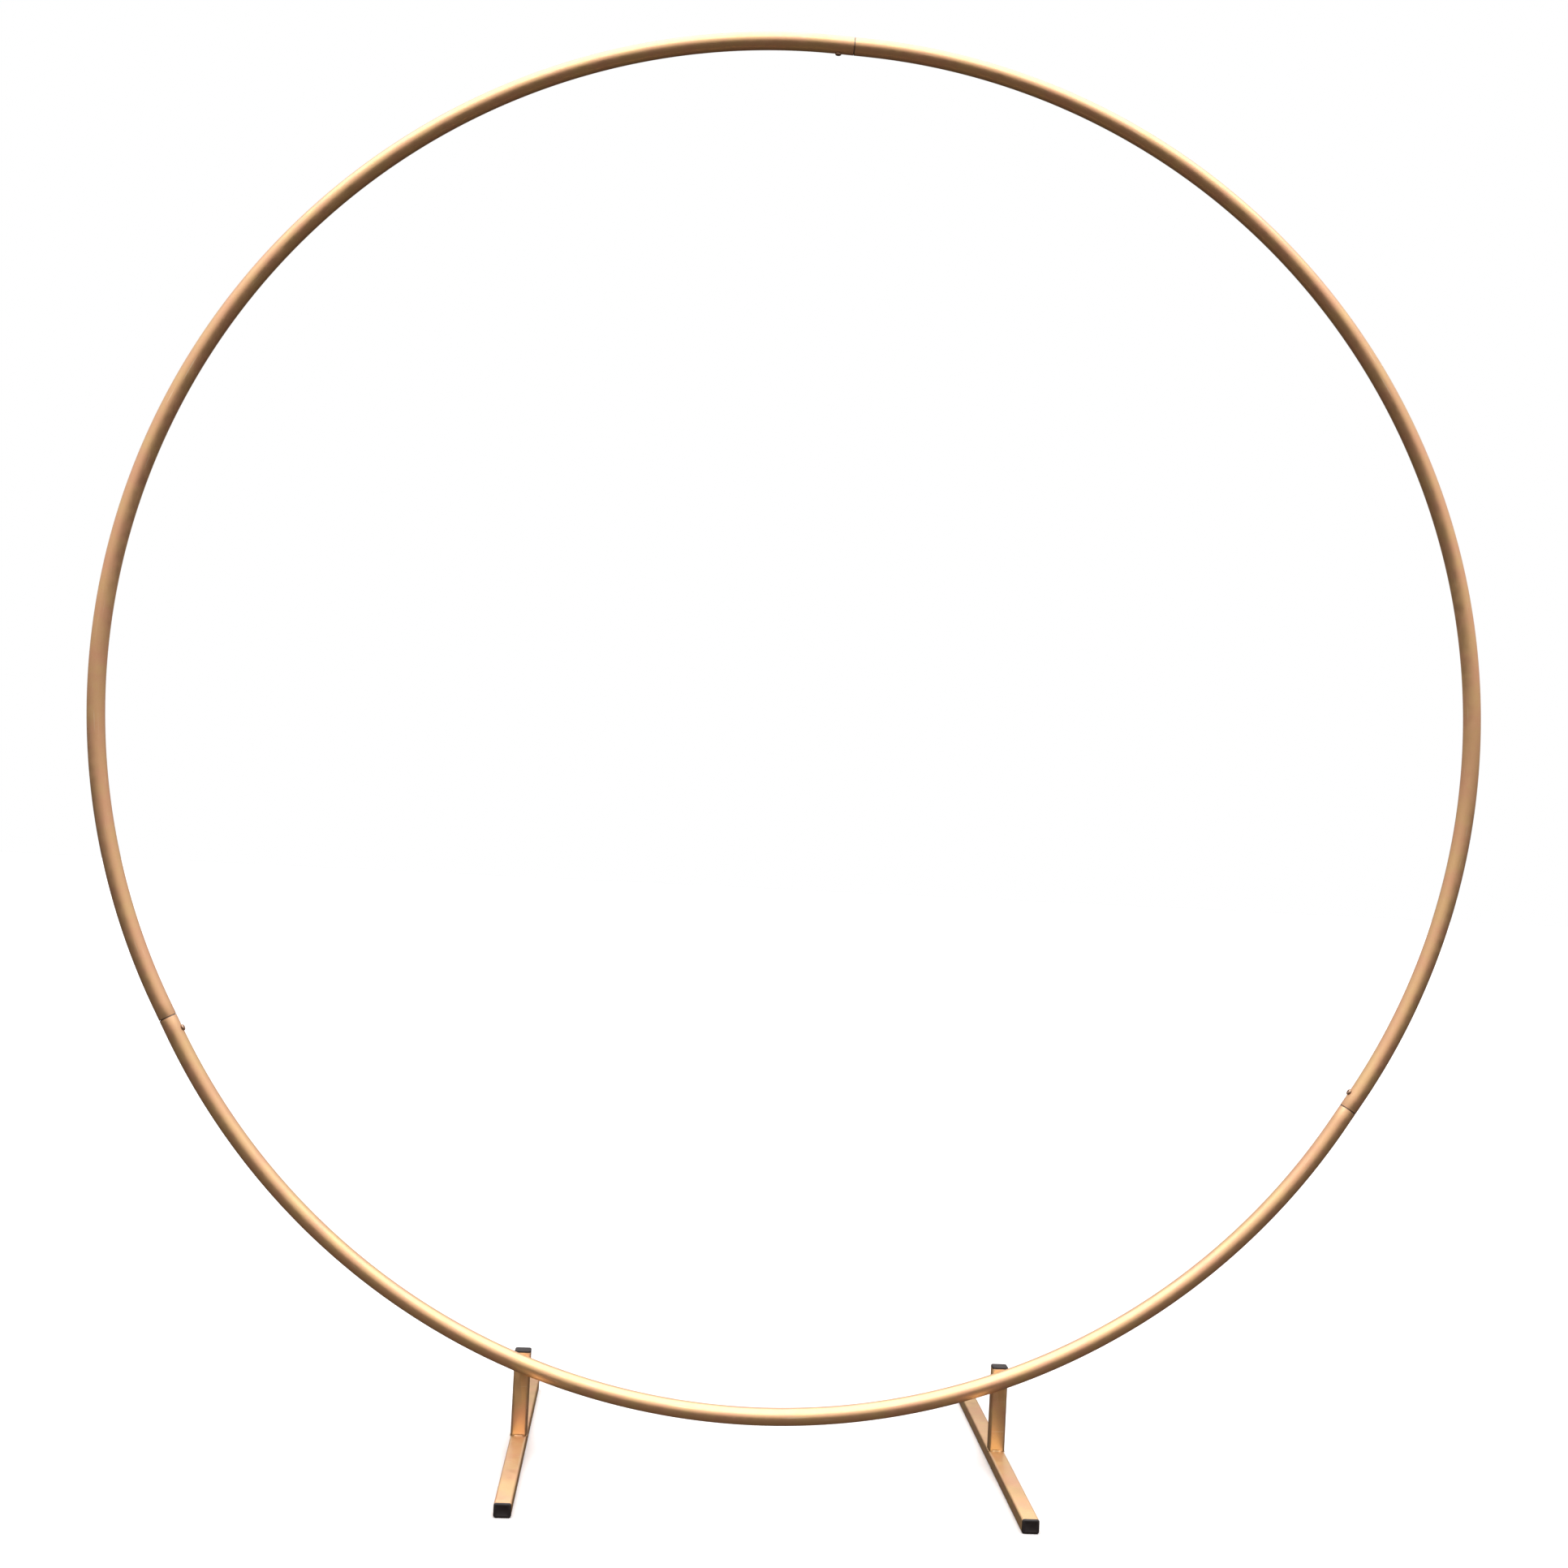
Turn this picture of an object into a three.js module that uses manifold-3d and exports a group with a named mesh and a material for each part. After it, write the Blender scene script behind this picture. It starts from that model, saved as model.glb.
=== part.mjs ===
// A round wreath and backdrop frame, two metres across: three bent tube arcs joined into a ring, which
// stands on two T-shaped feet bolted to its back. Millimetres, +Z up, the front of the ring faces -Y.
// The origin is on the floor, midway between the feet.
import * as THREE from "three";
import { mergeVertices } from "three/addons/utils/BufferGeometryUtils.js";
import Module from "manifold-3d";

const wasm = await Module();
wasm.setup();

// ---- Driving dimensions -------------------------------------------------------------------------

// Ring: three equal arcs of round tube. The tube bender leaves a short straight length at each end.
const TUBE_DIAMETER = 25;
const TUBE_WALL = 1.2;
const BEND_RADIUS = 967;
const STRAIGHT_END = 22;
const ARC_SWEEP = (2 * Math.PI) / 3;
const TOP_JOINT_ANGLE = THREE.MathUtils.degToRad(88);
const SEAM_GAP = 0.6;
const RING_CLEARANCE = 49.5;

// Ring joints: a straight sleeve inside both tube ends, held by one screw in a nut welded inside it.
const SLEEVE_DIAMETER = 21.8;
const SLEEVE_WALL = 1.5;
const SLEEVE_LENGTH = 70;
const SCREW_FROM_SEAM = 22;
const SCREW_DIAMETER = 5;
const SCREW_LENGTH = 10;
const SCREW_HEAD_DIAMETER = 9;
const SCREW_HEAD_HEIGHT = 2.3;
const SCREW_KEY = 3;
const NUT_ACROSS_FLATS = 8;
const NUT_HEIGHT = 4;
const NUT_FROM_AXIS = 4;

// Feet: a bar from front to back, with an upright welded on its middle, both cut from one box tube.
const FEET_APART = 688;
const FOOT_LENGTH = 580;
const UPRIGHT_LENGTH = 118;
const BOX_TUBE_WIDTH = 23;
const BOX_TUBE_HEIGHT = 19;
const BOX_TUBE_WALL = 1.2;
const BOX_TUBE_CORNER = 3.2;
const WELD_GAP = 0.3;

// Plastic plugs in the ends of the feet and the tops of the uprights.
const PLUG_FLANGE = 3;
const PLUG_EDGE = 0.9;
const PLUG_DEPTH = 8;
const PLUG_WALL = 1.6;
const PLUG_FIT = 0.3;

// Foot bolts: from behind, through the upright, into a rivet nut set in the back of the ring tube.
const BOLT_DIAMETER = 6;
const BOLT_LENGTH = 35;
const BOLT_HEAD_DIAMETER = 10.5;
const BOLT_HEAD_HEIGHT = 3.3;
const BOLT_KEY = 4;
const WASHER_DIAMETER = 13;
const WASHER_THICKNESS = 1.2;
const RIVET_FLANGE_DIAMETER = 11;
const RIVET_FLANGE = 0.7;
const RIVET_DIAMETER = 8.8;
const RIVET_BULGE_DIAMETER = 10.6;
const RIVET_BULGE = 3;
const RIVET_LENGTH = 11.5;

// The space between two faces that touch, and the play round a screw or bolt in its hole.
const TOUCH = 0.3;
const HOLE_PLAY = 0.4;

// Facets: the sides of the ring tube's outside and bore, its steps along one arc, and small round parts.
const TUBE_SIDES = 16;
const BORE_SIDES = 12;
const ARC_STEPS = 42;
const ROUND_SIDES = 20;
const CORNER_STEPS = 2;

// The smallest corner radius of a drawn-in outline.
const LEAST_CORNER = 0.4;

// ---- Derived places -----------------------------------------------------------------------------

// The arcs' bend centres stand off the ring's centre, because each straight end pushes them apart.
const CENTRE_OFFSET = STRAIGHT_END / Math.sin(ARC_SWEEP / 2);
const JOINT_DISTANCE = BEND_RADIUS + CENTRE_OFFSET * Math.cos(ARC_SWEEP / 2);
const TUBE_RADIUS = TUBE_DIAMETER / 2;
const BORE_RADIUS = TUBE_RADIUS - TUBE_WALL;

// The angle of the middle of each arc. Each arc's joint to its neighbour is at its clockwise end.
const ARCS = [
  { name: "right", middle: TOP_JOINT_ANGLE - ARC_SWEEP / 2 },
  { name: "left", middle: TOP_JOINT_ANGLE + ARC_SWEEP / 2 },
  { name: "bottom", middle: TOP_JOINT_ANGLE - 1.5 * ARC_SWEEP },
];
const BOTTOM_MIDDLE = ARCS[2].middle;

// How far the tube's centreline reaches from the ring's centre in the direction of an angle.
function reach(angle) {
  const leans = ARCS.map((arc) => Math.cos(angle - arc.middle));
  return BEND_RADIUS + CENTRE_OFFSET * Math.max(...leans);
}

// The bottom arc's bend centre is over the origin, so that both foot bolts are at one height.
const RING_X = -CENTRE_OFFSET * Math.cos(BOTTOM_MIDDLE);
const RING_Y = -(BOX_TUBE_HEIGHT / 2 + TOUCH + RIVET_FLANGE + TUBE_RADIUS);
const RING_Z = RING_CLEARANCE + TUBE_RADIUS + reach(-Math.PI / 2);
const UPRIGHT_BASE = BOX_TUBE_HEIGHT + WELD_GAP;
const UPRIGHT_TOP = UPRIGHT_BASE + UPRIGHT_LENGTH;

// The place in the ring's own plane where a foot's bolt crosses the tube's centreline.
function boltPlace(side) {
  const centreX = CENTRE_OFFSET * Math.cos(BOTTOM_MIDDLE);
  const centreY = CENTRE_OFFSET * Math.sin(BOTTOM_MIDDLE);
  const x = (side * FEET_APART) / 2 - RING_X;
  return new THREE.Vector2(x, centreY - Math.sqrt(BEND_RADIUS ** 2 - (x - centreX) ** 2));
}

// ---- Finishes -----------------------------------------------------------------------------------

const goldPaint = new THREE.MeshStandardMaterial({ color: 0xd0a568, roughness: 0.38, metalness: 0.75 });
const blackPlastic = new THREE.MeshStandardMaterial({ color: 0x1c1a1b, roughness: 0.6, metalness: 0 });
const zincPlate = new THREE.MeshStandardMaterial({ color: 0x9c9a94, roughness: 0.4, metalness: 0.95 });
const darkScrew = new THREE.MeshStandardMaterial({ color: 0x3b3432, roughness: 0.45, metalness: 0.85 });

// ---- Shapes -------------------------------------------------------------------------------------

// Points round a circle. A bore's flats lie on its true radius, and a shaft's corners do.
function circle(radius, sides, isBore = false) {
  const corner = isBore ? radius / Math.cos(Math.PI / sides) : radius;
  return Array.from({ length: sides }, (_, i) => {
    const angle = (i / sides) * 2 * Math.PI;
    return new THREE.Vector2(corner * Math.cos(angle), corner * Math.sin(angle));
  });
}

// Points round a rectangle with rounded corners, centred on the origin.
function roundedRectangle(width, height, corner) {
  const points = [];
  for (const [signX, signY, start] of [[1, 1, 0], [-1, 1, 1], [-1, -1, 2], [1, -1, 3]]) {
    for (let i = 0; i <= CORNER_STEPS; i++) {
      const angle = ((start + i / CORNER_STEPS) * Math.PI) / 2;
      const x = signX * (width / 2 - corner) + corner * Math.cos(angle);
      const y = signY * (height / 2 - corner) + corner * Math.sin(angle);
      points.push(new THREE.Vector2(x, y));
    }
  }
  return points;
}

function outline(outer, inner) {
  const shape = new THREE.Shape(outer);
  if (inner) shape.holes.push(new THREE.Path(inner));
  return shape;
}

function extrude(shape, depth) {
  return new THREE.ExtrudeGeometry(shape, { depth, bevelEnabled: false });
}

// A pin along the local Y axis, from one height to the other.
function pin(radius, low, high, sides = ROUND_SIDES) {
  const geometry = new THREE.CylinderGeometry(radius, radius, high - low, sides);
  return geometry.translate(0, (low + high) / 2, 0);
}

function turned(profile) {
  return new THREE.LatheGeometry(profile.map(([x, y]) => new THREE.Vector2(x, y)), ROUND_SIDES);
}

// ---- Booleans -----------------------------------------------------------------------------------

function toSolid(geometry) {
  const bare = geometry.clone();
  bare.deleteAttribute("normal");
  bare.deleteAttribute("uv");
  const merged = mergeVertices(bare, 1e-4);
  const vertProperties = new Float32Array(merged.attributes.position.array);
  const triVerts = new Uint32Array(merged.index.array);
  return new wasm.Manifold(new wasm.Mesh({ numProp: 3, vertProperties, triVerts }));
}

function toGeometry(solid) {
  const mesh = solid.getMesh();
  const geometry = new THREE.BufferGeometry();
  geometry.setAttribute("position", new THREE.BufferAttribute(mesh.vertProperties, 3));
  geometry.setIndex(new THREE.BufferAttribute(mesh.triVerts, 1));
  geometry.computeVertexNormals();
  return geometry;
}

function cut(geometry, ...tools) {
  const solid = tools.reduce((body, tool) => body.subtract(toSolid(tool)), toSolid(geometry));
  return toGeometry(solid);
}

function join(geometry, other) {
  return toGeometry(toSolid(geometry).add(toSolid(other)));
}

function named(name, geometry, material) {
  const mesh = new THREE.Mesh(geometry, material);
  mesh.name = name;
  return mesh;
}

// ---- Ring arcs ----------------------------------------------------------------------------------

// The centreline of one arc, bent about the origin, with its middle on +X and a straight run at each end.
class ArcLine extends THREE.Curve {
  getPoint(t, target = new THREE.Vector3()) {
    const bent = BEND_RADIUS * ARC_SWEEP;
    const straight = STRAIGHT_END - SEAM_GAP / 2;
    const along = (t - 0.5) * (bent + 2 * straight);
    const onBend = THREE.MathUtils.clamp(along, -bent / 2, bent / 2);
    const past = along - onBend;
    const angle = onBend / BEND_RADIUS;
    const x = BEND_RADIUS * Math.cos(angle) - past * Math.sin(angle);
    const y = BEND_RADIUS * Math.sin(angle) + past * Math.cos(angle);
    return target.set(x, y, 0);
  }
}

// The frame of the joint at an arc's clockwise end: X points out of the ring, and Y along the tube.
function jointFrame(angle) {
  const frame = new THREE.Matrix4().makeRotationZ(angle);
  const x = JOINT_DISTANCE * Math.cos(angle);
  const y = JOINT_DISTANCE * Math.sin(angle);
  return frame.setPosition(x, y, 0);
}

function arcFrame(middle) {
  const frame = new THREE.Matrix4().makeRotationZ(middle);
  return frame.setPosition(CENTRE_OFFSET * Math.cos(middle), CENTRE_OFFSET * Math.sin(middle), 0);
}

function place(object, frame) {
  frame.decompose(object.position, object.quaternion, object.scale);
  return object;
}

// The hole for a joint screw, through the side of the tube that faces the ring's centre.
function screwHole() {
  const hole = pin((SCREW_DIAMETER + HOLE_PLAY) / 2 + TOUCH, BORE_RADIUS / 2, TUBE_DIAMETER, BORE_SIDES);
  return hole.rotateZ(Math.PI / 2).translate(0, SCREW_FROM_SEAM, 0);
}

// The hole for a rivet nut, through the back of the tube.
function rivetHole(side) {
  const hole = pin(RIVET_DIAMETER / 2 + TOUCH, -TUBE_DIAMETER, -BORE_RADIUS / 2, BORE_SIDES);
  const at = boltPlace(side);
  return hole.rotateX(Math.PI / 2).translate(at.x, at.y, 0);
}

function arc({ name, middle }) {
  const section = outline(circle(TUBE_RADIUS, TUBE_SIDES), circle(BORE_RADIUS, BORE_SIDES, true));
  const tube = new THREE.ExtrudeGeometry(section, { steps: ARC_STEPS, extrudePath: new ArcLine() });
  const ringToArc = arcFrame(middle).invert();
  const holes = [screwHole().applyMatrix4(jointFrame(middle - ARC_SWEEP / 2))];
  if (name === "bottom") holes.push(rivetHole(-1), rivetHole(1));
  holes.forEach((hole) => hole.applyMatrix4(ringToArc));
  return place(named("arc_tube_" + name, cut(tube, ...holes), goldPaint), arcFrame(middle));
}

// ---- Ring joints --------------------------------------------------------------------------------

// Names each joint after its place on the ring, in the order of the arcs that start there.
const JOINT_NAMES = { right: "lower_right", left: "top", bottom: "lower_left" };

function sleeve() {
  const radius = SLEEVE_DIAMETER / 2;
  const section = outline(circle(radius, BORE_SIDES), circle(radius - SLEEVE_WALL, BORE_SIDES, true));
  const tube = extrude(section, SLEEVE_LENGTH).translate(0, 0, -SLEEVE_LENGTH / 2).rotateX(Math.PI / 2);
  return cut(tube, screwHole());
}

// The outline of a button head, as shares of its radius and its height.
const BUTTON_HEAD = [[1, 0], [1, 0.25], [0.92, 0.55], [0.76, 0.84], [0.58, 1], [0, 1]];
const SHANK_CHAMFER = 0.5;
const RECESS_FLOOR = 0.4;

// A button head on a plain shank, with a hexagonal key recess; the shank runs down from the origin.
function buttonScrew(diameter, length, headDiameter, headHeight, key) {
  const shank = diameter / 2;
  const head = headDiameter / 2;
  const body = turned([
    [0, -length],
    [shank - SHANK_CHAMFER, -length],
    [shank, -length + SHANK_CHAMFER],
    [shank, 0],
    ...BUTTON_HEAD.map(([radius, height]) => [radius * head, height * headHeight]),
  ]);
  const recess = pin(key / Math.sqrt(3), RECESS_FLOOR * headHeight, 2 * headHeight, 6);
  return cut(body, recess);
}

function hexNut() {
  const body = pin(NUT_ACROSS_FLATS / Math.sqrt(3), 0, NUT_HEIGHT, 6);
  return cut(body, pin(SCREW_DIAMETER / 2 + TOUCH, -NUT_HEIGHT, 2 * NUT_HEIGHT, BORE_SIDES));
}

function ringJoint({ name, middle }) {
  const where = JOINT_NAMES[name];
  const group = place(new THREE.Group(), jointFrame(middle - ARC_SWEEP / 2));
  const screw = named(
    "joint_screw_" + where,
    buttonScrew(SCREW_DIAMETER, SCREW_LENGTH, SCREW_HEAD_DIAMETER, SCREW_HEAD_HEIGHT, SCREW_KEY),
    darkScrew,
  );
  screw.position.set(-(TUBE_RADIUS + TOUCH), SCREW_FROM_SEAM, 0);
  screw.rotation.z = Math.PI / 2;
  const nut = named("joint_nut_" + where, hexNut(), zincPlate);
  nut.position.set(-NUT_FROM_AXIS, SCREW_FROM_SEAM, 0);
  nut.rotation.z = Math.PI / 2;
  return group.add(named("joint_sleeve_" + where, sleeve(), zincPlate), screw, nut);
}

// ---- Foot fixings on the ring -------------------------------------------------------------------

// The set rivet nut: a thin flange outside the tube, and a bulge that grips the wall from inside.
function rivetNut() {
  const body = RIVET_DIAMETER / 2;
  const flange = RIVET_FLANGE_DIAMETER / 2;
  const bulge = RIVET_BULGE_DIAMETER / 2;
  const bore = BOLT_DIAMETER / 2 + TOUCH;
  const gripTop = -TUBE_WALL - 5 * TOUCH;
  return turned([
    [bore, -RIVET_LENGTH],
    [body, -RIVET_LENGTH],
    [body, gripTop - RIVET_BULGE],
    [bulge, gripTop - 0.6 * RIVET_BULGE],
    [bulge, gripTop - 0.3 * RIVET_BULGE],
    [body, gripTop],
    [body, TOUCH],
    [flange, TOUCH],
    [flange, RIVET_FLANGE],
    [bore, RIVET_FLANGE],
    [bore, -RIVET_LENGTH],
  ]);
}

function washer() {
  const bore = BOLT_DIAMETER / 2 + TOUCH;
  const rim = WASHER_DIAMETER / 2;
  return turned([[bore, 0], [rim, 0], [rim, WASHER_THICKNESS], [bore, WASHER_THICKNESS], [bore, 0]]);
}

// Everything on one bolt's axis, which runs along Y through the ring tube and the upright.
function footFixing(side, where) {
  const at = boltPlace(side);
  const group = new THREE.Group();
  group.position.set(RING_X + at.x, 0, RING_Z + at.y);
  const insert = named("ring_rivet_nut_" + where, rivetNut(), zincPlate);
  insert.position.y = RING_Y + TUBE_RADIUS;
  const ring = named("bolt_washer_" + where, washer(), zincPlate);
  ring.position.y = BOX_TUBE_HEIGHT / 2 + TOUCH;
  const bolt = named(
    "foot_bolt_" + where,
    buttonScrew(BOLT_DIAMETER, BOLT_LENGTH, BOLT_HEAD_DIAMETER, BOLT_HEAD_HEIGHT, BOLT_KEY),
    zincPlate,
  );
  bolt.position.y = BOX_TUBE_HEIGHT / 2 + WASHER_THICKNESS + 2 * TOUCH;
  return group.add(insert, ring, bolt);
}

// ---- Feet ---------------------------------------------------------------------------------------

// The outline of the box tube, drawn in by the same amount on every side.
function boxOutline(inset) {
  const corner = Math.max(BOX_TUBE_CORNER - inset, LEAST_CORNER);
  return roundedRectangle(BOX_TUBE_WIDTH - 2 * inset, BOX_TUBE_HEIGHT - 2 * inset, corner);
}

function boxTube(length) {
  return extrude(outline(boxOutline(0), boxOutline(BOX_TUBE_WALL)), length);
}

// A push-in plug: its flange covers the tube's end, and its hollow shank stands down from the origin.
function plug() {
  const bevel = { bevelEnabled: true, bevelThickness: PLUG_EDGE, bevelSize: PLUG_EDGE, bevelSegments: 1 };
  const face = outline(boxOutline(PLUG_EDGE));
  const flange = new THREE.ExtrudeGeometry(face, { depth: PLUG_FLANGE - 2 * PLUG_EDGE, ...bevel });
  flange.translate(0, 0, PLUG_EDGE);
  const fit = BOX_TUBE_WALL + PLUG_FIT;
  const walls = outline(boxOutline(fit), boxOutline(fit + PLUG_WALL));
  const shank = extrude(walls, PLUG_DEPTH + PLUG_EDGE).translate(0, 0, -PLUG_DEPTH);
  return join(flange, shank);
}

function foot(side, where) {
  const group = new THREE.Group();
  group.position.x = (side * FEET_APART) / 2;
  const barLength = FOOT_LENGTH - 2 * (PLUG_FLANGE + TOUCH);
  const bar = named("foot_bar_" + where, boxTube(barLength), goldPaint);
  bar.position.set(0, barLength / 2, BOX_TUBE_HEIGHT / 2);
  bar.rotation.x = Math.PI / 2;

  const boltHeight = RING_Z + boltPlace(side).y - UPRIGHT_BASE;
  const holeRadius = (BOLT_DIAMETER + HOLE_PLAY) / 2 + TOUCH;
  const boltHole = pin(holeRadius, -BOX_TUBE_HEIGHT, BOX_TUBE_HEIGHT, BORE_SIDES);
  const post = cut(boxTube(UPRIGHT_LENGTH), boltHole.translate(0, 0, boltHeight));
  const upright = named("upright_" + where, post, goldPaint);
  upright.position.z = UPRIGHT_BASE;

  const cap = named("upright_plug_" + where, plug(), blackPlastic);
  cap.position.z = UPRIGHT_TOP + TOUCH;
  const ends = [-1, 1].map((end) => {
    const name = "foot_plug_" + where + (end < 0 ? "_front" : "_rear");
    const piece = named(name, plug(), blackPlastic);
    piece.position.set(0, end * (barLength / 2 + TOUCH), BOX_TUBE_HEIGHT / 2);
    piece.rotation.x = (-end * Math.PI) / 2;
    return piece;
  });
  return group.add(bar, upright, cap, ...ends);
}

// ---- Assembly -----------------------------------------------------------------------------------

const ring = new THREE.Group();
ring.position.set(RING_X, RING_Y, RING_Z);
ring.rotation.x = Math.PI / 2;
ring.add(...ARCS.map(arc), ...ARCS.map(ringJoint));

const frame = new THREE.Group();
frame.name = "wreath_frame";
frame.add(ring, footFixing(-1, "left"), footFixing(1, "right"), foot(-1, "left"), foot(1, "right"));

export default frame;
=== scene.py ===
# A round wreath and backdrop frame: three bent tubes joined into a ring two metres across, which stands on
# two T-shaped feet bolted to its back. Metres, +Z up; the front of the ring faces -Y.
import math
import bmesh
import bpy
from mathutils import Matrix, Vector


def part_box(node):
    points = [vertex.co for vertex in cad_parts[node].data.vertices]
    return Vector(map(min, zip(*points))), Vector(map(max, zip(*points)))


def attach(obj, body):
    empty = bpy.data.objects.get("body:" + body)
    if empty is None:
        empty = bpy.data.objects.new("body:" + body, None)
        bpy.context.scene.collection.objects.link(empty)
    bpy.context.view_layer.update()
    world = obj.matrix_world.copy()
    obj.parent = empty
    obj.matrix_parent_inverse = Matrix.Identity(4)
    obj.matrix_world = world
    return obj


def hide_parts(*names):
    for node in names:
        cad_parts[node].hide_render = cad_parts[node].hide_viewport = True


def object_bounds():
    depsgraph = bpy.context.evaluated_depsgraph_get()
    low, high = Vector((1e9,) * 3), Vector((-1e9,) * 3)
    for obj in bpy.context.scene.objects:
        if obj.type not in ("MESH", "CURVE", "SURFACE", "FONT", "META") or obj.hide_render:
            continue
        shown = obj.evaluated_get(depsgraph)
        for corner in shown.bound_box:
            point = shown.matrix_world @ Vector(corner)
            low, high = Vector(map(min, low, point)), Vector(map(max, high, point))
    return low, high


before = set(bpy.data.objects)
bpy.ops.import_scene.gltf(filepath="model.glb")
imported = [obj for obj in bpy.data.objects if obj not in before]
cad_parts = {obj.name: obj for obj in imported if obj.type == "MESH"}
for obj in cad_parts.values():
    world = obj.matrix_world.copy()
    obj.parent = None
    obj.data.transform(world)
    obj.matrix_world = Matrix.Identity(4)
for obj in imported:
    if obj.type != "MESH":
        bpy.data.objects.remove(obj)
cad_low, cad_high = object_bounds()

# ---- Ring tubes -----------------------------------------------------------------------------------
# Three equal lengths of thin steel tube, each bent to a third of the ring. The tube bender leaves a short
# straight length at both ends. Each tube is deburred, drilled for its screws and sprayed gold.

TUBE_RADIUS = 0.0125
TUBE_WALL = 0.0012
TUBE_LIP = 0.0003
TUBE_LIP_STEPS = 3
TUBE_SIDES = 64
BEND_RADIUS = 0.967
BEND_STEPS = 180
STRAIGHT_END = 0.022
SEAM_GAP = 0.0006
ARC_SWEEP = math.radians(120)
TOP_JOINT_ANGLE = math.radians(88)
SCREW_FROM_SEAM = 0.022
SCREW_HOLE_RADIUS = 0.003
RIVET_HOLE_RADIUS = 0.0047
WALL_HOLE_DEPTH = 0.006
TURNED_SIDES = 48
SAME_POINT = 1e-6
SHARP_EDGE = math.radians(60)


def outward(angle):
    """The direction from the ring's centre to a place on it; angles run from +X up towards +Z."""
    return Vector((math.cos(angle), 0, math.sin(angle)))


def onward(angle):
    """The direction along the tube at a place on the ring."""
    return Vector((-math.sin(angle), 0, math.cos(angle)))


bolt_low, bolt_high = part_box("foot_bolt_right")
bolt_axis = (bolt_low + bolt_high) / 2
tube_low, tube_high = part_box("arc_tube_left")
ring_plane = (tube_low.y + tube_high.y) / 2
centre_offset = STRAIGHT_END / math.sin(ARC_SWEEP / 2)
joint_distance = BEND_RADIUS + centre_offset * math.cos(ARC_SWEEP / 2)
arc_middles = {
    "right": TOP_JOINT_ANGLE - ARC_SWEEP / 2,
    "left": TOP_JOINT_ANGLE + ARC_SWEEP / 2,
    "bottom": TOP_JOINT_ANGLE - 1.5 * ARC_SWEEP,
}
bend_drop = math.sqrt(BEND_RADIUS**2 - bolt_axis.x**2)
bottom_centre = Vector((0, ring_plane, bolt_axis.z + bend_drop))
ring_centre = bottom_centre - centre_offset * outward(arc_middles["bottom"])
half_arc = BEND_RADIUS * ARC_SWEEP / 2 + STRAIGHT_END - SEAM_GAP / 2


def start_piece(name):
    """Names the primitive just added, fixes its place in its mesh and opens it for editing, all selected."""
    piece = bpy.context.object
    piece.name = piece.data.name = name
    bpy.ops.object.transform_apply(location=True, rotation=True, scale=True)
    bpy.ops.object.mode_set(mode="EDIT")
    bpy.ops.mesh.select_mode(type="VERT")
    bpy.ops.mesh.select_all(action="SELECT")
    return piece


def draw_by(step):
    """Draws the selection out by one step, and leaves its new end selected."""
    bpy.ops.mesh.extrude_region_move(TRANSFORM_OT_translate={"value": step})


def deselect_all():
    bpy.ops.object.select_all(action="DESELECT")


def use(piece):
    """Makes one object the only selected and active one."""
    deselect_all()
    piece.select_set(True)
    bpy.context.view_layer.objects.active = piece


def finish_with(piece, kind, **settings):
    """Adds a modifier to a piece and applies it."""
    use(piece)
    modifier = piece.modifiers.new(kind.lower(), kind)
    for name, value in settings.items():
        setattr(modifier, name, value)
    bpy.ops.object.modifier_apply(modifier=modifier.name)


def close_shell(piece):
    """Merges doubled points and turns every face outward, then leaves edit mode."""
    bpy.ops.mesh.select_all(action="SELECT")
    bpy.ops.mesh.remove_doubles(threshold=SAME_POINT)
    bpy.ops.mesh.normals_make_consistent(inside=False)
    bpy.ops.object.mode_set(mode="OBJECT")


def ease_edges(piece, width, steps):
    """Rounds a piece's sharp edges a little, as deburring does."""
    finish_with(piece, "BEVEL", width=width, segments=steps, limit_method="ANGLE", angle_limit=SHARP_EDGE)


def smooth(piece, degrees=35):
    """Shades a piece smooth, apart from edges sharper than the given angle."""
    use(piece)
    bpy.ops.object.shade_smooth_by_angle(angle=math.radians(degrees))


def drill(piece, middle, direction, radius, depth, sides=TURNED_SIDES):
    """Cuts a straight hole of the given depth, centred on its middle."""
    turn = direction.to_track_quat("Z", "Y").to_euler()
    deselect_all()
    bpy.ops.mesh.primitive_cylinder_add(
        vertices=sides, radius=radius, depth=depth, location=middle, rotation=turn
    )
    bit = bpy.context.object
    finish_with(piece, "BOOLEAN", operation="DIFFERENCE", object=bit, solver="EXACT")
    bpy.data.objects.remove(bit)


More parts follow.
